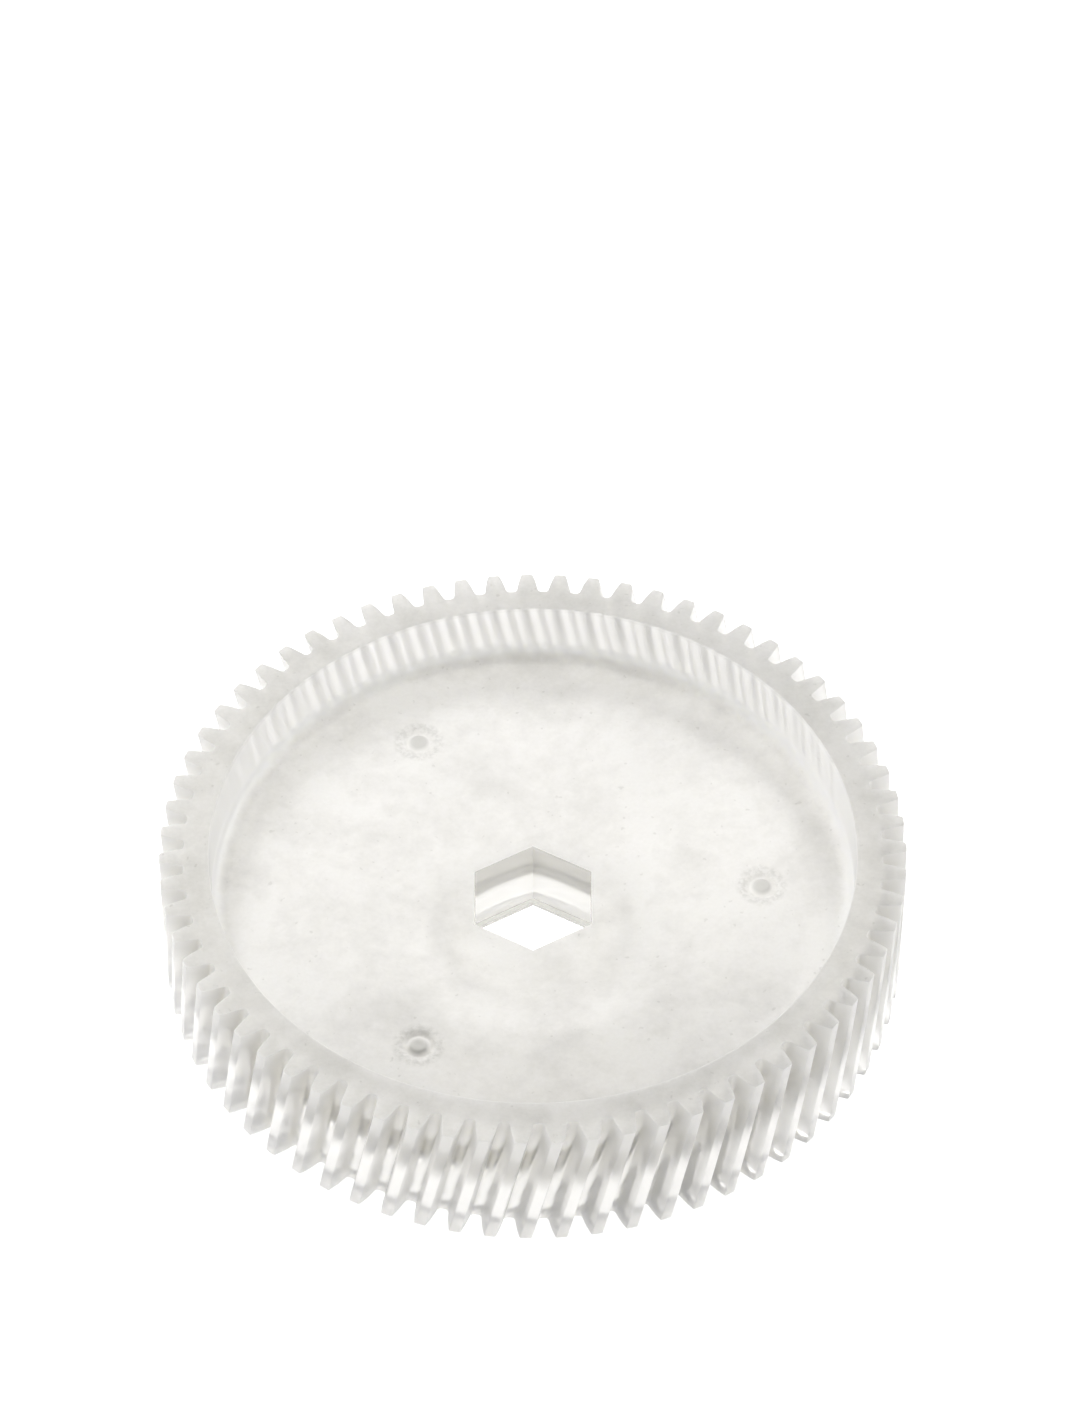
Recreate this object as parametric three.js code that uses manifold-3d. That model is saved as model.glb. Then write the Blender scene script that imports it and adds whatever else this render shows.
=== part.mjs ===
// A moulded helical gear with a hexagonal bore. Millimetres, +Z along the gear's axis.
// The origin is on the axis, in the plane of the hub's lower end, which the gear rests on.
// It is one moulding: a toothed rim, a dished web that thickens inwards and a hub that stands below it.

import * as THREE from 'three';
import { mergeVertices } from 'three/addons/utils/BufferGeometryUtils.js';
import Module from 'manifold-3d';

const degrees = THREE.MathUtils.degToRad;

// Teeth. Module and pressure angle are in the normal plane, and the helix is right-handed.
const toothCount = 67;
const normalModule = 1.0;
const pressureAngle = degrees(14.5);
const helixAngle = degrees(11.3);
const addendum = 1.0 * normalModule;
const dedendum = 1.3 * normalModule;
const toothShare = 0.52;
const rootFillet = 0.3;
const toothPhase = degrees(4.8);

// Rim. Its two recesses have drafted walls, which meet the web in a fillet.
const faceWidth = 14.3;
const upperRecessRadius = 30.5;
const lowerRecessRadius = 30.4;
const wallDraft = 0.1;
const upperWebFillet = 1.4;
const lowerWebFillet = 2.4;

// Web. Its upper side is flat outside dishOuterRadius and sinks in a cone towards the hub. Its lower side
// slopes down from taperRadius, near the rim, to the flat lower face of a boss round the hub.
const webDepth = 6.25;
const webThickness = 3.8;
const dishDepth = 1.35;
const dishOuterRadius = 20.0;
const dishInnerRadius = 9.5;
const taperRadius = 27.5;
const bossRadius = 12.5;
const bossHeight = 2.2;

// Hub and bore. The bore's flats face +X and -X, and a narrow lip closes in its lower end.
const hubRadius = 8.8;
const hubFillet = 1.2;
const hubProud = 1.5;
const boreAcrossFlats = 11.1;
const lipWidth = 0.5;
const lipHeight = 0.4;

// Gate marks: three shallow dimples in the web, each with the stub of its pin gate.
const gateCount = 3;
const gateCircleRadius = 21.7;
const gatePhase = degrees(0.6);
const dimpleRadius = 2.0;
const dimpleFloorRadius = 1.5;
const dimpleDepth = 0.25;
const gateStubRadius = 0.7;
const gateStubHeight = 0.45;

// Fineness of the facets
const turnedSegments = 72;
const filletSegments = 3;
const helixSteps = 2;
const dimpleSegments = 16;
const stubSegments = 8;

// Heights above the hub's lower end
const rimBottom = hubProud;
const rimTop = rimBottom + faceWidth;
const webTop = rimTop - webDepth;
const hubTop = webTop - dishDepth;
const webBottom = webTop - webThickness;

// Tools that cut right through start and end this far outside the moulding.
const overrun = 1.0;

const wasm = await Module();
wasm.setup();

function toSolid(geometry) {
  const bare = geometry.clone();
  bare.deleteAttribute('normal');
  bare.deleteAttribute('uv');
  const merged = mergeVertices(bare);
  return new wasm.Manifold(new wasm.Mesh({
    numProp: 3,
    vertProperties: Float32Array.from(merged.attributes.position.array),
    triVerts: Uint32Array.from(merged.index.array),
  }));
}

function toGeometry(solid) {
  const mesh = solid.getMesh();
  const geometry = new THREE.BufferGeometry();
  geometry.setAttribute('position', new THREE.BufferAttribute(mesh.vertProperties, 3));
  geometry.setIndex(new THREE.BufferAttribute(mesh.triVerts, 1));
  geometry.computeVertexNormals();
  return geometry;
}

function polar(radius, angle) {
  return new THREE.Vector2(radius * Math.cos(angle), radius * Math.sin(angle));
}

// A turned solid from a closed outline of (radius, height) points, given anticlockwise.
function turned(outline, segments = turnedSegments) {
  const geometry = new THREE.LatheGeometry([...outline, outline[0]], segments);
  geometry.rotateX(Math.PI / 2);
  return toSolid(geometry);
}

// A solid between two heights with the same outline all the way up.
function extruded(outline, bottom, top, steps = 1) {
  const settings = { depth: top - bottom, steps, bevelEnabled: false };
  const geometry = new THREE.ExtrudeGeometry(new THREE.Shape(outline), settings);
  geometry.translate(0, 0, bottom);
  return geometry;
}

// The points of a quarter-round fillet, from one tangent point to the other.
function fillet(centreRadius, centreHeight, radius, startAngle, endAngle) {
  const points = [];
  for (let i = 0; i <= filletSegments; i += 1) {
    const angle = startAngle + ((endAngle - startAngle) * i) / filletSegments;
    const offset = polar(radius, angle);
    points.push(new THREE.Vector2(centreRadius + offset.x, centreHeight + offset.y));
  }
  return points;
}

// Tooth form
const transverseAngle = Math.atan(Math.tan(pressureAngle) / Math.cos(helixAngle));
const pitchRadius = (toothCount * normalModule) / Math.cos(helixAngle) / 2;
const baseRadius = pitchRadius * Math.cos(transverseAngle);
const tipRadius = pitchRadius + addendum;
const rootRadius = pitchRadius - dedendum;
const pitchAngle = (2 * Math.PI) / toothCount;

function involute(angle) {
  return Math.tan(angle) - angle;
}

// Half of the angle that a tooth fills at a radius. Below the base circle the flank is radial.
function toothHalfAngle(radius) {
  const angle = Math.acos(Math.min(1, baseRadius / radius));
  return (pitchAngle * toothShare) / 2 + involute(transverseAngle) - involute(angle);
}

function gearOutline() {
  const flankFoot = rootRadius + rootFillet;
  const flank = [rootRadius, flankFoot, pitchRadius, tipRadius];
  const points = [];
  for (let tooth = 0; tooth < toothCount; tooth += 1) {
    const halfTooth = flank.map((radius) => {
      const spread = radius === rootRadius ? rootFillet / rootRadius : 0;
      return { radius, offset: toothHalfAngle(radius) + spread };
    });
    const centre = toothPhase + tooth * pitchAngle;
    halfTooth.forEach(({ radius, offset }) => points.push(polar(radius, centre - offset)));
    halfTooth.reverse().forEach(({ radius, offset }) => points.push(polar(radius, centre + offset)));
  }
  return points;
}

// The toothed cylinder: the outline turns steadily about the axis as it rises.
function toothedCylinder() {
  const geometry = extruded(gearOutline(), -overrun, rimTop + overrun, helixSteps);
  const twistPerMillimetre = Math.tan(helixAngle) / pitchRadius;
  const position = geometry.attributes.position;
  const point = new THREE.Vector3();
  const axis = new THREE.Vector3(0, 0, 1);
  for (let i = 0; i < position.count; i += 1) {
    point.fromBufferAttribute(position, i);
    point.applyAxisAngle(axis, (point.z - rimTop) * twistPerMillimetre);
    position.setXYZ(i, point.x, point.y, point.z);
  }
  return toSolid(geometry);
}

// The turned body inside the teeth: hub, boss, web and rim, with a round core left open.
function turnedBody() {
  const coreRadius = boreAcrossFlats / 4;
  const outerRadius = tipRadius + overrun;
  const lowerWall = lowerRecessRadius - wallDraft;
  const upperWall = upperRecessRadius - wallDraft;
  const outline = [
    new THREE.Vector2(coreRadius, 0),
    new THREE.Vector2(hubRadius, 0),
    ...fillet(hubRadius + hubFillet, bossHeight - hubFillet, hubFillet, Math.PI, Math.PI / 2),
    new THREE.Vector2(bossRadius, bossHeight),
    new THREE.Vector2(taperRadius, webBottom),
    ...fillet(lowerWall - lowerWebFillet, webBottom - lowerWebFillet, lowerWebFillet, Math.PI / 2, 0),
    new THREE.Vector2(lowerRecessRadius, rimBottom),
    new THREE.Vector2(outerRadius, rimBottom),
    new THREE.Vector2(outerRadius, rimTop),
    new THREE.Vector2(upperRecessRadius, rimTop),
    ...fillet(upperWall - upperWebFillet, webTop + upperWebFillet, upperWebFillet, 0, -Math.PI / 2),
    new THREE.Vector2(dishOuterRadius, webTop),
    new THREE.Vector2(dishInnerRadius, hubTop),
    new THREE.Vector2(coreRadius, hubTop),
  ];
  return turned(outline);
}

function hexagon(acrossFlats) {
  const cornerRadius = acrossFlats / 2 / Math.cos(Math.PI / 6);
  const corners = [0, 1, 2, 3, 4, 5];
  return corners.map((corner) => polar(cornerRadius, Math.PI / 2 + (corner * Math.PI) / 3));
}

function boreTool() {
  const lipAcrossFlats = boreAcrossFlats - 2 * lipWidth;
  const seat = toSolid(extruded(hexagon(boreAcrossFlats), lipHeight, rimTop + overrun));
  const way = toSolid(extruded(hexagon(lipAcrossFlats), -overrun, rimTop));
  return seat.add(way);
}

function gatePlaces() {
  return Array.from({ length: gateCount }, (unused, gate) => {
    const angle = gatePhase + (gate * 2 * Math.PI) / gateCount;
    return polar(gateCircleRadius, angle);
  });
}

// A cone frustum or cylinder standing on its lower end at a place on the web.
function frustum(place, bottom, height, bottomRadius, topRadius, segments) {
  const geometry = new THREE.CylinderGeometry(topRadius, bottomRadius, height, segments);
  geometry.rotateX(Math.PI / 2);
  geometry.translate(place.x, place.y, bottom + height / 2);
  return toSolid(geometry);
}

function dimple(place) {
  const floor = webTop - dimpleDepth;
  const slope = (dimpleRadius - dimpleFloorRadius) / dimpleDepth;
  const mouthRadius = dimpleFloorRadius + slope * (dimpleDepth + overrun);
  return frustum(place, floor, dimpleDepth + overrun, dimpleFloorRadius, mouthRadius, dimpleSegments);
}

function gateStub(place) {
  const floor = webTop - dimpleDepth;
  const bottom = floor - overrun;
  return frustum(place, bottom, overrun + gateStubHeight, gateStubRadius, gateStubRadius, stubSegments);
}

function moulding() {
  let solid = turnedBody().intersect(toothedCylinder()).subtract(boreTool());
  gatePlaces().forEach((place) => {
    solid = solid.subtract(dimple(place)).add(gateStub(place));
  });
  return solid;
}

const naturalPlastic = new THREE.MeshStandardMaterial({ color: 0xe9e8e2, roughness: 0.45, metalness: 0 });

const gear = new THREE.Mesh(toGeometry(moulding()), naturalPlastic);
gear.name = 'helical_gear';

const model = new THREE.Group();
model.add(gear);

export default model;
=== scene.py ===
"""Looks for the moulded helical gear: one fine mesh in natural plastic, a pale floor and soft light."""

import math
from types import SimpleNamespace

import bmesh
import bpy
import numpy as np
from mathutils import Matrix, Vector


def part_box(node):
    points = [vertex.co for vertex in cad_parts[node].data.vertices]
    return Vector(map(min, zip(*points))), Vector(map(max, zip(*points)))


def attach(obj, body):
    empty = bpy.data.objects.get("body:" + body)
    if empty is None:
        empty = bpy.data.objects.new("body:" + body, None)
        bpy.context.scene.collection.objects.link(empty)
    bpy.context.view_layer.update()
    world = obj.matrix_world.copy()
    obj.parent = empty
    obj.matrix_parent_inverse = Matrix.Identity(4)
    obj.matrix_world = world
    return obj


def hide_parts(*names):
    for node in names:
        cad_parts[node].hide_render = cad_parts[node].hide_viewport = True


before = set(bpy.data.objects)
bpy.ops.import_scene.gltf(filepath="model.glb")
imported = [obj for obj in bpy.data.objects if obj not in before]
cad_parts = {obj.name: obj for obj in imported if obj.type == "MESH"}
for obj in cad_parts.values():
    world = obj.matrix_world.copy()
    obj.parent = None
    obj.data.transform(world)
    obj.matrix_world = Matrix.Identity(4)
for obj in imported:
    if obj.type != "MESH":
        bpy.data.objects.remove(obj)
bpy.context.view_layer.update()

MM = 0.001
NODE = "helical_gear"
gear_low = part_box(NODE)[0]

# Teeth, in the gear's own millimetres
TOOTH_COUNT = 67
NORMAL_MODULE = 1.0
PRESSURE_ANGLE = math.radians(14.5)
HELIX_ANGLE = math.radians(11.3)
ADDENDUM = 1.0 * NORMAL_MODULE
DEDENDUM = 1.3 * NORMAL_MODULE
TOOTH_SHARE = 0.52
ROOT_FILLET = 0.4
TIP_ROUND = 0.18
FACE_ROUND = 0.07
TOOTH_PHASE = math.radians(4.8)

# Rim, web and hub
FACE_WIDTH = 14.3
UPPER_RECESS_RADIUS = 30.5
LOWER_RECESS_RADIUS = 30.4
WALL_DRAFT = 0.1
UPPER_WEB_FILLET = 1.4
LOWER_WEB_FILLET = 2.4
EDGE_ROUND = 0.12
WEB_DEPTH = 6.25
WEB_THICKNESS = 3.8
DISH_DEPTH = 1.35
DISH_OUTER_RADIUS = 20.0
DISH_INNER_RADIUS = 9.5
BOSS_MIDDLE_RADIUS = 10.9
BOSS_RADIUS = 12.5
TAPER_RADIUS = 27.5
HUB_RADIUS = 8.8
HUB_FILLET = 1.2
HUB_PROUD = 1.5
BOSS_HEIGHT = 2.2
BORE_ACROSS_FLATS = 11.1
LIP_WIDTH = 0.5
LIP_HEIGHT = 0.4
BORE_ROUND = 0.12

# Gate marks on the web's upper side
GATE_COUNT = 3
GATE_CIRCLE_RADIUS = 21.7
GATE_PHASE = math.radians(0.6)
DIMPLE_RADIUS = 2.0
DIMPLE_DEPTH = 0.25
STUB_RADIUS = 0.75
STUB_HEIGHT = 0.08
STUB_ROOT_DEPTH = 0.6

# Heights above the hub's lower end
RIM_BOTTOM = HUB_PROUD
RIM_TOP = RIM_BOTTOM + FACE_WIDTH
WEB_TOP = RIM_TOP - WEB_DEPTH
HUB_TOP = WEB_TOP - DISH_DEPTH
WEB_BOTTOM = WEB_TOP - WEB_THICKNESS

# The floor lies a hair below the hub, so that the two faces do not coincide
FLOOR_GAP = 0.05
FLOOR_HALF_WIDTH = 1500.0

# How strongly the floor glows, and what is lost at the right and gained under the bore: the loss towards
# the front and the right is a painted shadow of the gear, the gain under the bore a painted pool of
# light
FRONT_GLOW = 0.83
BACK_GLOW = 0.95
RIGHT_GLOW_LOSS = 0.06
BORE_GLOW_GAIN = 0.25

# How bright the room is
WORLD_STRENGTH = 0.8

# Where the plastic changes, as radii. BEYOND is past every surface.
INNER_WALL_START = 25.0
INNER_WALL_END = 31.2
RIM_START = 31.0
TOOTH_START = 31.5
BEYOND = 40.0

# The plastic's colour where it is clean, and where it is stained or darkened with painted shade
CLEAN = (0.955, 0.945, 0.932, 1)
STAINED_OR_SHADED = (0.605, 0.60, 0.58, 1)

# Where the gate marks are grey, as distances from the middle of the stub
STUB_GREY_END = 0.7
STUB_GREY_FADE_END = 1.1
RING_GREY_START = 1.6
RING_GREY_END = 2.1

# Scales of the noise patterns, per metre
BLOTCH_SCALE = 130.0
HAZE_SCALE = 620.0
SPECK_SCALE = 1500.0
GRAIN_SCALE = 2600.0

# How dark the painted shade on each part is, as a share of the way from the clean colour to the stained
# and shaded one
RIM_SHADE = 0.17
EDGE_SHADE = 0.2
FOOT_SHADE = 0.5
TOOTH_TOP_SHADE = 0.3
WAIST_SHADE = 0.16

# What the level faces gain in roughness over the smoothest faces, and the other parts' shares of that
ADDED_ROUGHNESS = 0.45
WALL_ROUGHNESS = 0.36
TOOTH_ROUGHNESS = 0.2
TOOTH_TOP_ROUGHNESS = 0.65

# How much light goes straight through, in general and on the recess walls, and how much less at the
# upper ends of the teeth and on the fillet round the web
CLEARNESS = 0.64
WALL_CLEARNESS = 0.54
CROWN_MILKINESS = 0.1
FILLET_MILKINESS = 0.3

# How light travels in the plastic. The scatter lengths are in metres, as Blender takes them.
REFRACTIVE_INDEX = 1.49
SCATTER_LENGTHS = (0.0025, 0.0025, 0.0023)
ABSORB_COLOUR = (0.855, 0.848, 0.822, 1)
ABSORB_DENSITY = 150.0

# Fineness: a half tooth has 12 steps, and the turned surfaces have one step for every four of these
ROOT_LAND_STEPS = 2
ROOT_FILLET_STEPS = 3
FLANK_STEPS = 4
TIP_ROUND_STEPS = 2
STEPS_PER_TOOTH = 2 * (ROOT_LAND_STEPS + ROOT_FILLET_STEPS + FLANK_STEPS + TIP_ROUND_STEPS + 1)
FINE_COUNT = TOOTH_COUNT * STEPS_PER_TOOTH
FINE_PER_COARSE = 4
COARSE_COUNT = FINE_COUNT // FINE_PER_COARSE
FACE_WIDTH_STEPS = 12
EDGE_STEPS = 4
WALL_STEPS = 5
UPPER_FILLET_STEPS = 8
WEB_RING_RADII = (27.0, 24.5, 22.0)
DISH_STEPS = 12
BORE_STEPS = 6
HUB_EDGE_STEPS = 3
HUB_FILLET_STEPS = 4
TAPER_STEPS = 12
LOWER_FILLET_STEPS = 12
BOWL_STEPS = 8
DIMPLE_SEGMENTS = 48
STUB_SEGMENTS = 32
CORNER_ANGLE = math.radians(30)
SHARP_ANGLE = math.radians(35)

# Tooth form
TRANSVERSE_ANGLE = math.atan(math.tan(PRESSURE_ANGLE) / math.cos(HELIX_ANGLE))
PITCH_RADIUS = TOOTH_COUNT * NORMAL_MODULE / math.cos(HELIX_ANGLE) / 2
BASE_RADIUS = PITCH_RADIUS * math.cos(TRANSVERSE_ANGLE)
TIP_RADIUS = PITCH_RADIUS + ADDENDUM
ROOT_RADIUS = PITCH_RADIUS - DEDENDUM
PITCH_ANGLE = 2 * math.pi / TOOTH_COUNT
TWIST_PER_MM = math.tan(HELIX_ANGLE) / PITCH_RADIUS


def polar(radius, angle):
    """A point at a radius, at an angle that is measured clockwise from +Y."""
    return np.array([radius * math.sin(angle), radius * math.cos(angle)])


def involute(angle):
    return math.tan(angle) - angle


def tooth_half_angle(radius):
    """Half of the angle that a tooth fills at a radius. Below the base circle the flank is radial."""
    angle = math.acos(min(1.0, BASE_RADIUS / radius))
    return PITCH_ANGLE * TOOTH_SHARE / 2 + involute(TRANSVERSE_ANGLE) - involute(angle)


def corner_arc(corner, before, after, radius, steps):
    """Points of the arc that rounds a corner between two unit directions of travel."""
    turn = math.acos(float(np.clip(before @ after, -1, 1)))
    reach = radius * math.tan(turn / 2)
    start = corner - before * reach
    side = after - before * float(before @ after)
    side /= np.linalg.norm(side)
    angles = np.linspace(0, turn, steps + 1)
    return [start + before * radius * math.sin(a) + side * radius * (1 - math.cos(a)) for a in angles]


def half_tooth():
    """Points from the middle of a gap to the middle of a tooth that stands on +Y."""
    root_angle = tooth_half_angle(ROOT_RADIUS)
    root_corner = polar(ROOT_RADIUS, root_angle)
    towards_tooth = np.array([-math.cos(root_angle), math.sin(root_angle)])
    up_flank = np.array([math.sin(root_angle), math.cos(root_angle)])
    root_arc = corner_arc(root_corner, towards_tooth, up_flank, ROOT_FILLET, ROOT_FILLET_STEPS)

    tip_angle = tooth_half_angle(TIP_RADIUS)
    tip_corner = polar(TIP_RADIUS, tip_angle)
    small = 0.01
    below_tip = polar(TIP_RADIUS - small, tooth_half_angle(TIP_RADIUS - small))
    into_tip = (tip_corner - below_tip) / np.linalg.norm(tip_corner - below_tip)
    over_tip = np.array([-math.cos(tip_angle), math.sin(tip_angle)])
    tip_arc = corner_arc(tip_corner, into_tip, over_tip, TIP_ROUND, TIP_ROUND_STEPS)

    land_angles = np.linspace(PITCH_ANGLE / 2, math.atan2(*root_arc[0]), ROOT_LAND_STEPS + 1)
    root_land = [polar(ROOT_RADIUS, a) for a in land_angles[:-1]]
    flank_ends = np.linalg.norm(root_arc[-1]), np.linalg.norm(tip_arc[0])
    flank_radii = np.linspace(*flank_ends, FLANK_STEPS + 1)[1:-1]
    flank = [polar(r, tooth_half_angle(r)) for r in flank_radii]
    return root_land + root_arc + flank + tip_arc + [polar(TIP_RADIUS, 0)]


def tooth_outline():
    """The whole transverse outline, anticlockwise, from the middle of the gap before the first tooth."""
    half = np.array(half_tooth())
    tooth = np.vstack([half, (half * [-1, 1])[::-1][1:-1]])
    radius = np.hypot(tooth[:, 0], tooth[:, 1])
    offset = -np.arctan2(tooth[:, 0], tooth[:, 1])
    centres = TOOTH_PHASE + PITCH_ANGLE * np.arange(TOOTH_COUNT)
    angles = (centres[:, None] + offset[None, :]).ravel()
    radii = np.tile(radius, TOOTH_COUNT)
    return np.column_stack([radii * np.cos(angles), radii * np.sin(angles)])


def inset(outline, distance):
    """The outline moved inwards, square to itself."""
    along = np.roll(outline, -1, axis=0) - np.roll(outline, 1, axis=0)
    along /= np.linalg.norm(along, axis=1)[:, None]
    inwards = np.column_stack([-along[:, 1], along[:, 0]])
    return outline + inwards * distance


def turned_by(points, angle):
    cosine, sine = math.cos(angle), math.sin(angle)
    return points @ np.array([[cosine, sine], [-sine, cosine]])


def at_height(points, height):
    return np.column_stack([points, np.full(len(points), height)])


def circle(radius, height, count=COARSE_COUNT, phase=CORNER_ANGLE):
    angles = phase + np.arange(count) * 2 * math.pi / count
    return at_height(np.column_stack([radius * np.cos(angles), radius * np.sin(angles)]), height)


def hexagon(across_flats, height):
    """A ring on a hexagon, with a point on each corner."""
    angles = CORNER_ANGLE + np.arange(COARSE_COUNT) * 2 * math.pi / COARSE_COUNT
    from_flat = (angles - CORNER_ANGLE) % (math.pi / 3) - math.pi / 6
    radii = across_flats / 2 / np.cos(from_flat)
    return at_height(np.column_stack([radii * np.cos(angles), radii * np.sin(angles)]), height)


def blend(ring_a, ring_b, share):
    return ring_a * (1 - share) + ring_b * share


def eased(share):
    """A straight rise from 0 to 1 with short soft ends."""
    soft = 0.03
    low, high = min(share, 1 - share), share > 0.5
    part = low * low / (4 * soft) if low < 2 * soft else low - soft
    part /= 1 - 2 * soft
    return 1 - part if high else part


def quarter(centre_radius, centre_height, radius, start, end, steps):
    """Circles along an arc of the turned section, from start to end, in degrees."""
    rings = []
    for angle in np.radians(np.linspace(start, end, steps + 1)):
        height = centre_height + radius * math.sin(angle)
        rings.append(circle(centre_radius + radius * math.cos(angle), height))
    return rings


def tooth_levels():
    """(inset, height) of each level of the toothed surface, from the lower face to the upper."""
    lower = []
    for angle in [math.radians(a) for a in (0, 30, 60, 90)]:
        height = RIM_BOTTOM + FACE_ROUND * (1 - math.cos(angle))
        lower.append((FACE_ROUND * (1 - math.sin(angle)), height))
    middle = np.linspace(RIM_BOTTOM + FACE_ROUND, RIM_TOP - FACE_ROUND, FACE_WIDTH_STEPS + 1)[1:-1]
    upper = [(d, RIM_BOTTOM + RIM_TOP - z) for d, z in reversed(lower)]
    return lower + [(0.0, z) for z in middle] + upper


def toothed_rings():
    outline = tooth_outline()
    rings = []
    for distance, height in tooth_levels():
        points = inset(outline, distance) if distance > 0 else outline
        rings.append(at_height(turned_by(points, (height - RIM_TOP) * TWIST_PER_MM), height))
    return rings


def upper_rings():
    """The turned surface from the rim's upper face in to the bore's upper edge."""
    wall_foot = UPPER_RECESS_RADIUS - WALL_DRAFT
    fillet_radius = wall_foot - UPPER_WEB_FILLET
    fillet_height = WEB_TOP + UPPER_WEB_FILLET
    edge_radius = UPPER_RECESS_RADIUS + EDGE_ROUND
    rings = quarter(edge_radius, RIM_TOP - EDGE_ROUND, EDGE_ROUND, 90, 180, EDGE_STEPS)
    for share in np.linspace(0, 1, WALL_STEPS + 1)[1:-1]:
        height = (RIM_TOP - EDGE_ROUND) * (1 - share) + fillet_height * share
        rings.append(circle(UPPER_RECESS_RADIUS - WALL_DRAFT * share, height))
    rings += quarter(fillet_radius, fillet_height, UPPER_WEB_FILLET, 0, -90, UPPER_FILLET_STEPS)
    for radius in WEB_RING_RADII:
        rings.append(circle(radius, WEB_TOP))
    for share in np.linspace(0, 1, DISH_STEPS + 1):
        radius = DISH_OUTER_RADIUS * (1 - share) + DISH_INNER_RADIUS * share
        rings.append(circle(radius, WEB_TOP - DISH_DEPTH * share * share * (3 - 2 * share)))
    # Three rings lead from the round dish to the hexagon
    edge = hexagon(BORE_ACROSS_FLATS + 2 * BORE_ROUND, HUB_TOP)
    for share in (0.3, 0.6, 0.85):
        rings.append(blend(circle(DISH_INNER_RADIUS, HUB_TOP), edge, share))
    return rings


def bore_rings():
    """The bore's wall from its upper edge to its lower edge, with the lip near the bottom."""
    rings = []
    for angle in np.radians([0, 30, 60, 90]):
        width = BORE_ACROSS_FLATS + 2 * BORE_ROUND * (1 - math.sin(angle))
        rings.append(hexagon(width, HUB_TOP - BORE_ROUND * (1 - math.cos(angle))))
    for height in np.linspace(HUB_TOP - BORE_ROUND, LIP_HEIGHT, BORE_STEPS + 1)[1:]:
        rings.append(hexagon(BORE_ACROSS_FLATS, height))
    lip_width = BORE_ACROSS_FLATS - 2 * LIP_WIDTH
    lip_round = BORE_ROUND / 2
    rings.append(hexagon(lip_width + 2 * lip_round, LIP_HEIGHT))
    rings.append(hexagon(lip_width, LIP_HEIGHT - lip_round))
    rings.append(hexagon(lip_width, lip_round))
    rings.append(hexagon(lip_width + 2 * lip_round, 0))
    return rings


def lower_rings():
    """The turned surface from the hub's lower end out to the rim's lower face."""
    edge = hexagon(BORE_ACROSS_FLATS - 2 * LIP_WIDTH + BORE_ROUND, 0)
    hub_edge = circle(HUB_RADIUS - EDGE_ROUND, 0)
    rings = [blend(edge, hub_edge, share) for share in (0.3, 0.65)]
    rings += quarter(HUB_RADIUS - EDGE_ROUND, EDGE_ROUND, EDGE_ROUND, -90, 0, HUB_EDGE_STEPS)
    foot_radius = HUB_RADIUS + HUB_FILLET
    foot_height = BOSS_HEIGHT - HUB_FILLET
    rings += quarter(foot_radius, foot_height, HUB_FILLET, 180, 90, HUB_FILLET_STEPS)
    rings.append(circle(BOSS_MIDDLE_RADIUS, BOSS_HEIGHT))
    for share in np.linspace(0, 1, TAPER_STEPS + 1):
        radius = BOSS_RADIUS * (1 - share) + TAPER_RADIUS * share
        rings.append(circle(radius, BOSS_HEIGHT + (WEB_BOTTOM - BOSS_HEIGHT) * eased(share)))
    wall_foot = LOWER_RECESS_RADIUS - WALL_DRAFT
    fillet_radius = wall_foot - LOWER_WEB_FILLET
    fillet_height = WEB_BOTTOM - LOWER_WEB_FILLET
    rings += quarter(fillet_radius, fillet_height, LOWER_WEB_FILLET, 90, 0, LOWER_FILLET_STEPS)
    middle_height = (fillet_height + RIM_BOTTOM + EDGE_ROUND) / 2
    rings.append(circle((wall_foot + LOWER_RECESS_RADIUS) / 2, middle_height))
    edge_radius = LOWER_RECESS_RADIUS + EDGE_ROUND
    rings += quarter(edge_radius, RIM_BOTTOM + EDGE_ROUND, EDGE_ROUND, 180, 270, EDGE_STEPS)
    return rings


def join_rings(bm, ring_a, ring_b):
    """Quads between two rings of the same count."""
    count = len(ring_a)
    for i in range(count):
        j = (i + 1) % count
        bm.faces.new((ring_a[i], ring_a[j], ring_b[j], ring_b[i]))


def join_fine_to_coarse(bm, fine, coarse):
    """Faces between a fine ring and a coarse one on the same flat face of the rim."""
    first = math.atan2(fine[0].co.y, fine[0].co.x)
    shift = round(((CORNER_ANGLE - first) % (2 * math.pi)) / (2 * math.pi) * len(fine))
    for i in range(len(coarse)):
        j = (i + 1) % len(coarse)
        start = shift + i * FINE_PER_COARSE
        corners = [fine[(start + k) % len(fine)] for k in range(FINE_PER_COARSE + 1)]
        bm.faces.new([coarse[j], coarse[i]] + corners)


def face_ring(height):
    """The circle under the tooth roots on a face of the rim, in step with the teeth there."""
    phase = TOOTH_PHASE - PITCH_ANGLE / 2 + (height - RIM_TOP) * TWIST_PER_MM
    return circle(ROOT_RADIUS - 2 * ROOT_FILLET, height, FINE_COUNT, phase)


def add_ring(bm, points):
    return [bm.verts.new(Vector(p) * MM) for p in points]


def object_from(bm, name):
    bmesh.ops.recalc_face_normals(bm, faces=bm.faces)
    mesh = bpy.data.meshes.new(name)
    bm.to_mesh(mesh)
    bm.free()
    thing = bpy.data.objects.new(name, mesh)
    bpy.context.scene.collection.objects.link(thing)
    return thing


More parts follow.
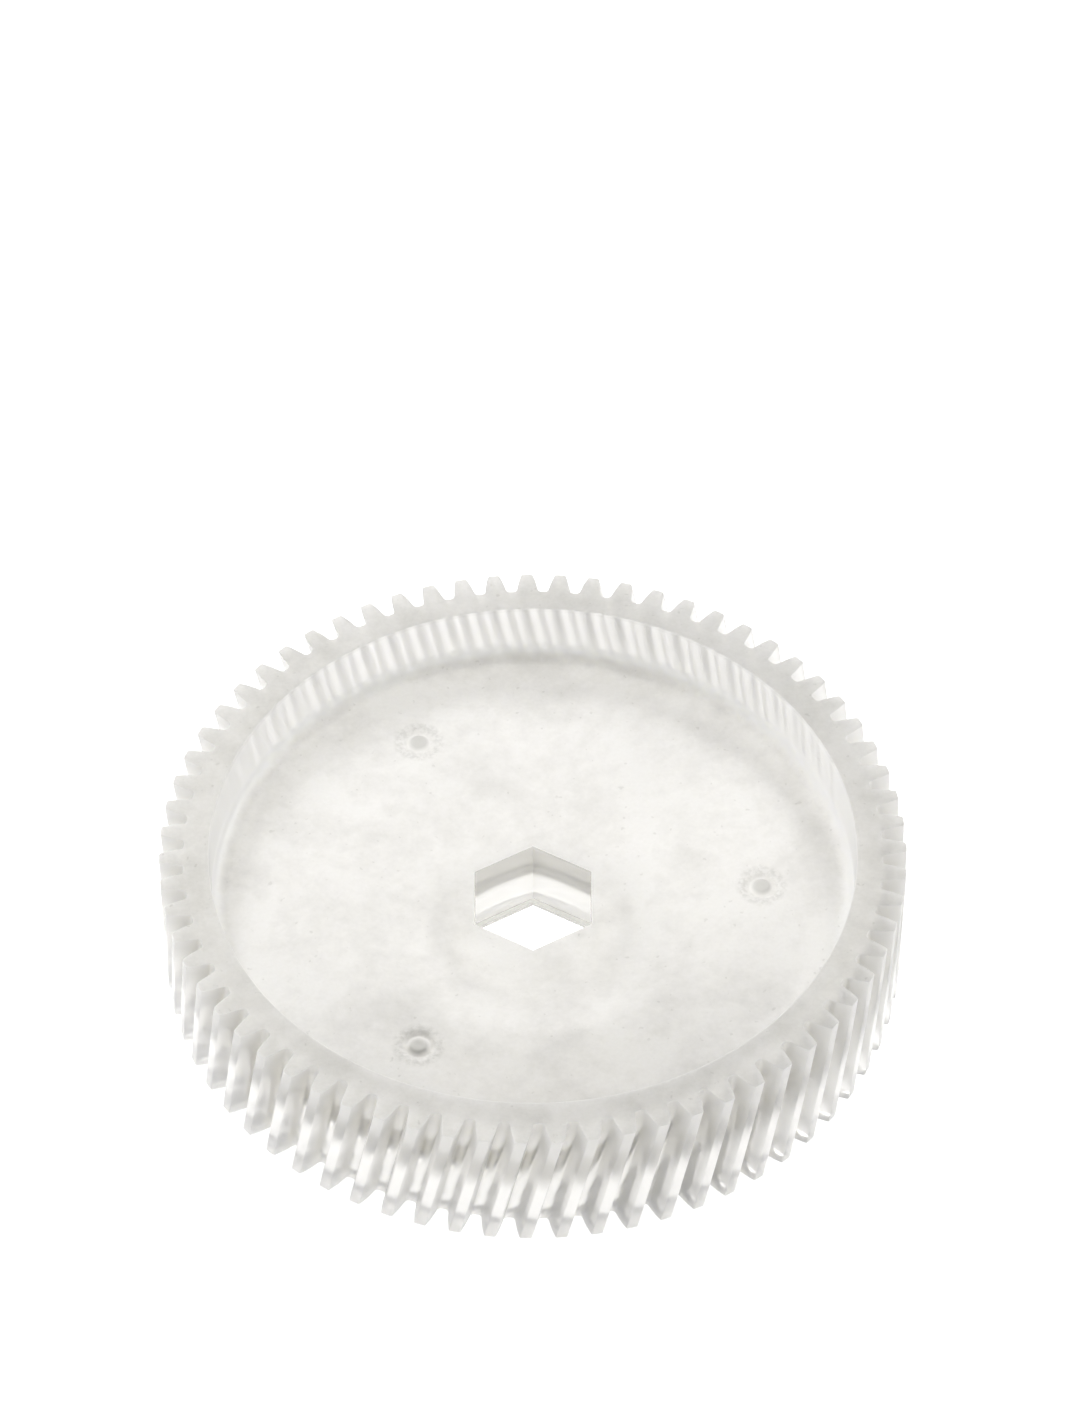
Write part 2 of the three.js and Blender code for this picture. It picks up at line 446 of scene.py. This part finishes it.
def gear_blank():
    """The whole gear as one closed mesh, without the small marks."""
    bm = bmesh.new()
    toothed = [add_ring(bm, ring) for ring in toothed_rings()]
    turned = [add_ring(bm, ring) for ring in upper_rings() + bore_rings() + lower_rings()]
    for rings in (toothed, turned):
        for ring_a, ring_b in zip(rings, rings[1:]):
            join_rings(bm, ring_a, ring_b)
    upper_face = add_ring(bm, face_ring(RIM_TOP))
    lower_face = add_ring(bm, face_ring(RIM_BOTTOM))
    join_rings(bm, toothed[-1], upper_face)
    join_rings(bm, toothed[0], lower_face)
    join_fine_to_coarse(bm, upper_face, turned[0])
    join_fine_to_coarse(bm, lower_face, turned[-1])
    return object_from(bm, "gear_moulding")


def lathe(bm, outline, place, segments):
    """Adds a turned solid about a vertical axis at place. The outline runs from axis to axis."""
    x, y = place
    rings = []
    angles = np.arange(segments) * 2 * math.pi / segments
    for radius, height in outline[1:-1]:
        points = [(x + radius * math.cos(a), y + radius * math.sin(a), height) for a in angles]
        rings.append(add_ring(bm, points))
    for ring_a, ring_b in zip(rings, rings[1:]):
        join_rings(bm, ring_a, ring_b)
    bm.faces.new(rings[0])
    bm.faces.new(rings[-1])


def places_on_circle(count, radius, phase):
    angles = [phase + i * 2 * math.pi / count for i in range(count)]
    return [(radius * math.cos(a), radius * math.sin(a)) for a in angles]


def dimple_tool():
    """What the gate dimples take away."""
    bm = bmesh.new()
    clear = 1.0
    floor = WEB_TOP - DIMPLE_DEPTH
    # The middle of the bowl is flat, and its edge ends a hair above the web, for a clean cut
    flat_share = 0.55
    overshoot = 1.02
    bowl = [(0, floor)]
    for share in np.linspace(0, 1, BOWL_STEPS + 1):
        swell = share * share * (3 - 2 * share)
        radius = DIMPLE_RADIUS * (flat_share + (1 - flat_share) * share)
        bowl.append((radius, floor + DIMPLE_DEPTH * overshoot * swell))
    bowl += [(DIMPLE_RADIUS, WEB_TOP + clear), (0, WEB_TOP + clear)]
    for place in places_on_circle(GATE_COUNT, GATE_CIRCLE_RADIUS, GATE_PHASE):
        lathe(bm, bowl, place, DIMPLE_SEGMENTS)
    return object_from(bm, "dimple_tool")


def stub_tool():
    """The torn stubs of the gates: low mounds that rise from the dimples to a little above the web."""
    bm = bmesh.new()
    floor = WEB_TOP - DIMPLE_DEPTH
    base = floor - STUB_ROOT_DEPTH
    top = WEB_TOP + STUB_HEIGHT
    flank = [(1.75, floor), (1.5, floor + 0.04), (1.25, floor + 0.12), (1.05, floor + 0.22)]
    crown = [(0.9, top - 0.03), (0.7, top), (0.4, top - 0.02), (0.15, top - 0.04), (0, top - 0.04)]
    profile = [(0, base), (flank[0][0], base)] + flank + crown
    stub = [(STUB_RADIUS * share, height) for share, height in profile]
    for place in places_on_circle(GATE_COUNT, GATE_CIRCLE_RADIUS, GATE_PHASE):
        lathe(bm, stub, place, STUB_SEGMENTS)
    return object_from(bm, "stub_tool")


def apply_boolean(thing, tool, operation):
    modifier = thing.modifiers.new("cut", "BOOLEAN")
    modifier.operation = operation
    modifier.solver = "EXACT"
    modifier.object = tool
    evaluated = thing.evaluated_get(bpy.context.evaluated_depsgraph_get())
    mesh = bpy.data.meshes.new_from_object(evaluated)
    thing.modifiers.clear()
    old = thing.data
    thing.data = mesh
    bpy.data.meshes.remove(old)
    tool_mesh = tool.data
    bpy.data.objects.remove(tool)
    bpy.data.meshes.remove(tool_mesh)


def make_gear():
    gear = gear_blank()
    apply_boolean(gear, dimple_tool(), "DIFFERENCE")
    apply_boolean(gear, stub_tool(), "UNION")
    gear.data.shade_smooth()
    gear.data.set_sharp_from_angle(angle=SHARP_ANGLE)
    return gear


class Nodes:
    """A short way to add and join a material's nodes. The functions below call it n."""

    def __init__(self, tree):
        self.tree = tree

    def add(self, kind, inputs=None, **settings):
        node = self.tree.nodes.new(kind)
        for key, value in settings.items():
            setattr(node, key, value)
        for key, value in (inputs or {}).items():
            socket = node.inputs[key]
            if isinstance(value, bpy.types.NodeSocket):
                self.tree.links.new(value, socket)
            else:
                socket.default_value = value
        return node

    def noise(self, coordinates, scale, detail=4.0, roughness=0.55, distortion=0.0):
        inputs = {"Vector": coordinates, "Scale": scale, "Detail": detail, "Roughness": roughness,
                  "Distortion": distortion}
        return self.add("ShaderNodeTexNoise", inputs).outputs["Fac"]

    def remap(self, value, low, high, to_low, to_high):
        inputs = {"Value": value, "From Min": low, "From Max": high, "To Min": to_low, "To Max": to_high}
        return self.add("ShaderNodeMapRange", inputs).outputs["Result"]

    def math(self, operation, a, b=0.0):
        return self.add("ShaderNodeMath", {0: a, 1: b}, operation=operation).outputs["Value"]

    def vector_math(self, operation, a, b, output="Value"):
        return self.add("ShaderNodeVectorMath", {0: a, 1: b}, operation=operation).outputs[output]

    def times(self, a, b):
        return self.math("MULTIPLY", a, b)

    def plus(self, a, b):
        return self.math("ADD", a, b)

    def band(self, value, low, high, softness):
        """1 between two lengths in millimetres and 0 outside them, with soft ends."""
        rise = self.remap(value, (low - softness) * MM, low * MM, 0.0, 1.0)
        fall = self.remap(value, high * MM, (high + softness) * MM, 1.0, 0.0)
        return self.times(rise, fall)


def surface_masks(n):
    """Where a point of the surface is, and masks from 0 to 1 for the parts of the gear."""
    at = SimpleNamespace()
    coordinates = n.add("ShaderNodeTexCoord")
    at.place = coordinates.outputs["Object"]
    at.height = n.add("ShaderNodeSeparateXYZ", {"Vector": at.place}).outputs["Z"]
    across = n.vector_math("MULTIPLY", at.place, (1, 1, 0), "Vector")
    at.radius = n.add("ShaderNodeVectorMath", {0: across}, operation="LENGTH").outputs["Value"]
    at.facing = n.add("ShaderNodeSeparateXYZ", {"Vector": coordinates.outputs["Normal"]}).outputs["Z"]
    at.inside = n.add("ShaderNodeNewGeometry").outputs["Backfacing"]

    # Level faces, the rest, the recess walls, the teeth, their upper part and the rim's lower face
    at.flat = n.remap(n.math("ABSOLUTE", at.facing), 0.6, 0.98, 0.0, 1.0)
    at.steep = n.math("SUBTRACT", 1.0, at.flat)
    at.inner_wall = n.times(n.band(at.radius, INNER_WALL_START, INNER_WALL_END, 0.5), at.steep)
    at.teeth = n.band(at.radius, TOOTH_START, BEYOND, 0.5)
    at.upper_teeth = n.times(n.band(at.height, RIM_TOP - 1.2, RIM_TOP + 1.0, 3.0), at.teeth)
    down = n.remap(at.facing, -0.98, -0.7, 1.0, 0.0)
    at.under = n.times(down, n.band(at.radius, 30.8, BEYOND, 0.3))

    # A soft unevenness that both the colour and the roughness follow
    blotches = n.noise(at.place, BLOTCH_SCALE, 3.0, 0.55, 0.4)
    haze = n.noise(at.place, HAZE_SCALE, 4.0, 0.6)
    at.uneven = n.plus(n.times(blotches, 0.6), n.times(haze, 0.4))
    return at


def grime_and_rim_shade(n, at):
    """Soft blotches, grain and dark specks on the level faces, and a grey painted shade over the rim's
    faces.
    """
    mottling = n.remap(at.uneven, 0.42, 0.66, 0.0, 0.4)
    grain = n.remap(n.noise(at.place, GRAIN_SCALE, 2.0, 0.6), 0.3, 0.7, 0.0, 0.15)
    specks = n.remap(n.noise(at.place, SPECK_SCALE, 1.0), 0.72, 0.78, 0.0, 0.4)
    marks = n.times(at.flat, n.plus(mottling, n.plus(grain, specks)))
    # The grey tone over the rim's level faces is painted shade, not a stain
    rim_shade = n.times(at.flat, n.band(at.radius, RIM_START, BEYOND, 0.3))
    return n.plus(marks, n.times(rim_shade, RIM_SHADE))


def gate_stain(n, at):
    """The torn stub of each gate is grey, and a speckled grey ring lies round it."""
    nearest = 1.0
    for x, y in places_on_circle(GATE_COUNT, GATE_CIRCLE_RADIUS, GATE_PHASE):
        centre = Vector((x, y, WEB_TOP)) * MM
        nearest = n.math("MINIMUM", n.vector_math("DISTANCE", at.place, centre), nearest)
    stub = n.remap(nearest, STUB_GREY_END * MM, STUB_GREY_FADE_END * MM, 1.0, 0.0)
    speckle = n.remap(n.noise(at.place, GRAIN_SCALE, 2.0, 0.6), 0.4, 0.6, 0.15, 0.5)
    ring = n.times(n.band(nearest, RING_GREY_START, RING_GREY_END, 0.5), speckle)
    return n.plus(stub, ring)


def lip_shade(n, at):
    """The lip at the bore's lower end is grey with painted shade."""
    low = n.band(at.height, 0.0, LIP_HEIGHT + 0.05, 0.05)
    return n.times(low, n.band(at.radius, 0.0, 6.6, 0.1))


def foot_shade(n, at):
    """The fillet at the foot of the hub is greyish with painted shade in the crease."""
    low = n.band(at.height, 0.3, BOSS_HEIGHT + 0.1, 0.1)
    near_hub = n.band(at.radius, HUB_RADIUS - 0.1, HUB_RADIUS + HUB_FILLET, 0.1)
    return n.times(n.times(low, near_hub), FOOT_SHADE)


def edge_shade(n, at):
    """The rounded edge of the upper recess is a little grey: a painted shade line."""
    high = n.band(at.height, RIM_TOP - 0.35, RIM_TOP + 0.1, 0.1)
    middle = UPPER_RECESS_RADIUS + EDGE_ROUND / 2
    near_edge = n.band(at.radius, middle - 0.15, middle + 0.15, 0.25)
    return n.times(n.times(high, near_edge), EDGE_SHADE)


def tooth_shade(n, at):
    """Painted shade on the teeth: grey towards their upper ends, and a little grey about a third of the
    way down.
    """
    top = n.times(n.times(at.upper_teeth, at.steep), TOOTH_TOP_SHADE)
    waist = n.times(n.band(at.height, RIM_TOP - 6.0, RIM_TOP - 4.4, 1.2), at.teeth)
    return n.plus(top, n.times(waist, WAIST_SHADE))


def plastic_colour(n, at):
    """Nearly white plastic, greyer where it is stained and where shade is painted on."""
    # The rim's lower face (the under mask) is darkened with painted shade, where the gear's own shadow
    # falls beneath it
    stain_and_shade = n.plus(grime_and_rim_shade(n, at), at.under)
    for part in (gate_stain, lip_shade, foot_shade, edge_shade, tooth_shade):
        stain_and_shade = n.plus(stain_and_shade, part(n, at))
    # Sockets 6 and 7 of a mix node are its two colours, and output 2 is the colour between them
    return n.add("ShaderNodeMix", {0: stain_and_shade, 6: CLEAN, 7: STAINED_OR_SHADED}, data_type="RGBA").outputs[2]


def plastic_roughness(n, at):
    """Outside, the level faces are the roughest. Inside they are the smoothest, except under the hub."""
    wear = n.remap(at.uneven, 0.35, 0.65, 0.21, 0.25)
    share = n.math("MAXIMUM", n.times(at.inner_wall, WALL_ROUGHNESS), n.times(at.teeth, TOOTH_ROUGHNESS))
    share = n.math("MAXIMUM", share, n.times(at.upper_teeth, TOOTH_TOP_ROUGHNESS))
    share = n.math("MAXIMUM", share, at.flat)
    outer = n.plus(wear, n.times(share, ADDED_ROUGHNESS))
    seat = n.band(at.height, -0.1, 0.05, 0.05)
    inner = n.plus(n.remap(at.flat, 0.0, 1.0, 0.25, 0.1), n.times(seat, 0.5))
    return n.remap(at.inside, 0.0, 1.0, outer, inner)


def plastic_clearness(n, at):
    """How much light goes straight through. On the inside, only the rim's lower face holds some back."""
    crown = n.times(n.band(at.height, RIM_TOP - 0.5, RIM_TOP + 1.0, 4.0), at.teeth)
    crown = n.times(crown, at.steep)
    near_web = n.band(at.height, WEB_TOP - 0.2, WEB_TOP + 1.5, 0.3)
    fillet = n.times(near_web, n.band(at.radius, 29.2, INNER_WALL_END, 0.5))
    fillet = n.times(fillet, n.remap(at.facing, 0.0, 0.1, 0.0, 1.0))
    milky = n.plus(n.times(crown, CROWN_MILKINESS), n.times(fillet, FILLET_MILKINESS))
    outer = n.math("SUBTRACT", n.remap(at.inner_wall, 0.0, 1.0, CLEARNESS, WALL_CLEARNESS), milky)
    inner = n.remap(at.under, 0.0, 1.0, 1.0, 0.35)
    return n.remap(at.inside, 0.0, 1.0, outer, inner)


def natural_plastic():
    """Undyed plastic: it lets light through, scatters some of it and takes a little with depth."""
    material = bpy.data.materials.new("natural_plastic")
    material.use_nodes = True
    tree = material.node_tree
    tree.nodes.clear()
    n = Nodes(tree)
    at = surface_masks(n)
    shader = n.add("ShaderNodeBsdfPrincipled", {
        "Base Color": plastic_colour(n, at),
        "Roughness": plastic_roughness(n, at),
        "IOR": REFRACTIVE_INDEX,
        "Transmission Weight": plastic_clearness(n, at),
        "Subsurface Weight": 1.0,
        "Subsurface Radius": SCATTER_LENGTHS,
        "Subsurface Scale": 1.0,
    })
    absorb_inputs = {"Color": ABSORB_COLOUR, "Density": ABSORB_DENSITY}
    absorb = n.add("ShaderNodeVolumeAbsorption", absorb_inputs)
    outputs = {"Surface": shader.outputs["BSDF"], "Volume": absorb.outputs["Volume"]}
    n.add("ShaderNodeOutputMaterial", outputs)
    return material


def floor_material():
    """A pale floor that glows softly, like a light table, so that shadows on it stay faint.

    It glows most under the bore, a painted pool of light, and a little less towards the front and the
    right, a painted shadow of the gear.
    """
    material = bpy.data.materials.new("floor_white")
    material.use_nodes = True
    n = Nodes(material.node_tree)
    place = n.add("ShaderNodeTexCoord").outputs["Object"]
    sides = n.add("ShaderNodeSeparateXYZ", {"Vector": place}).outputs
    from_bore = n.add("ShaderNodeVectorMath", {0: place}, operation="LENGTH").outputs["Value"]
    # Dimmer glow towards the front and the right is a painted shadow of the gear; extra glow under the
    # bore is a painted pool of light
    glow_with_front_shadow = n.remap(sides["Y"], -22 * MM, -12 * MM, FRONT_GLOW, BACK_GLOW)
    right = n.remap(sides["X"], 4 * MM, 12 * MM, 0.0, -RIGHT_GLOW_LOSS)
    bore_light_pool = n.remap(from_bore, 7.6 * MM, 9 * MM, BORE_GLOW_GAIN, 0.0)
    glow = n.plus(n.plus(glow_with_front_shadow, right), bore_light_pool)
    shader = material.node_tree.nodes["Principled BSDF"]
    shader.inputs["Base Color"].default_value = (0.6, 0.6, 0.6, 1)
    shader.inputs["Roughness"].default_value = 0.9
    shader.inputs["Specular IOR Level"].default_value = 0.1
    shader.inputs["Emission Color"].default_value = (1, 1, 1, 1)
    material.node_tree.links.new(glow, shader.inputs["Emission Strength"])
    return material


def make_floor():
    bm = bmesh.new()
    half = FLOOR_HALF_WIDTH * MM
    corners = [(-half, -half), (half, -half), (half, half), (-half, half)]
    height = gear_low.z - FLOOR_GAP * MM
    bm.faces.new([bm.verts.new((x, y, height)) for x, y in corners])
    floor = object_from(bm, "floor")
    floor.data.materials.append(floor_material())


def area_light(name, place, target, size, power):
    """A round lamp, with its place, its target and its size in metres and its power in watts."""
    data = bpy.data.lights.new(name, "AREA")
    data.shape = "DISK"
    data.size = size
    data.energy = power
    lamp = bpy.data.objects.new(name, data)
    lamp.location = place
    lamp.rotation_mode = "QUATERNION"
    lamp.rotation_quaternion = (Vector(target) - Vector(place)).to_track_quat("-Z", "Y")
    bpy.context.scene.collection.objects.link(lamp)


def make_world():
    """A pale room, a little brighter towards the back and the right, and brightest low down."""
    world = bpy.data.worlds.new("studio")
    world.use_nodes = True
    n = Nodes(world.node_tree)
    direction = n.add("ShaderNodeTexCoord").outputs["Generated"]
    parts = n.add("ShaderNodeSeparateXYZ", {"Vector": direction}).outputs
    sideways = n.remap(parts["X"], -1.0, 1.0, 1.0, 1.08)
    depthways = n.remap(parts["Y"], -1.0, 1.0, 0.84, 1.08)
    upwards = n.remap(parts["Z"], 0.0, 1.0, 1.8, 0.45)
    brightness = n.times(n.times(sideways, depthways), n.times(upwards, WORLD_STRENGTH))
    background = world.node_tree.nodes["Background"]
    background.inputs["Color"].default_value = (1, 1, 1, 1)
    world.node_tree.links.new(brightness, background.inputs["Strength"])
    bpy.context.scene.world = world


def make_lights():
    make_world()
    area_light("back_left", place=(-0.16, 0.16, 0.22), target=(0, 0, 0), size=0.22, power=0.45)
    area_light("right", place=(0.2, 0.08, 0.1), target=(-0.02, 0, 0.01), size=0.15, power=0.13)


def make_camera():
    """The camera stands at from_centre, in outer radii, from the middle of the rim's upper face."""
    outer_radius = TIP_RADIUS * MM
    top_centre = Vector((0, 0, gear_low.z + RIM_TOP * MM))
    elevation = math.radians(48.02)
    roll = math.radians(-0.24)
    from_centre = Vector((0.0007, -9.314, 10.894))
    data = bpy.data.cameras.new("camera")
    data.sensor_width = 36.0
    data.lens = 135.765
    camera = bpy.data.objects.new("camera", data)
    camera.location = top_centre + from_centre * outer_radius
    tilt = Matrix.Rotation(math.pi / 2 - elevation, 3, "X") @ Matrix.Rotation(roll, 3, "Z")
    camera.rotation_mode = "QUATERNION"
    camera.rotation_quaternion = tilt.to_quaternion()
    bpy.context.scene.collection.objects.link(camera)
    bpy.context.scene.camera = camera


make_camera()
make_lights()
make_floor()

gear = make_gear()
gear.data.materials.clear()
gear.data.materials.append(natural_plastic())
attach(gear, "root")
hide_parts(NODE)

bpy.context.scene.view_settings.view_transform = "Standard"
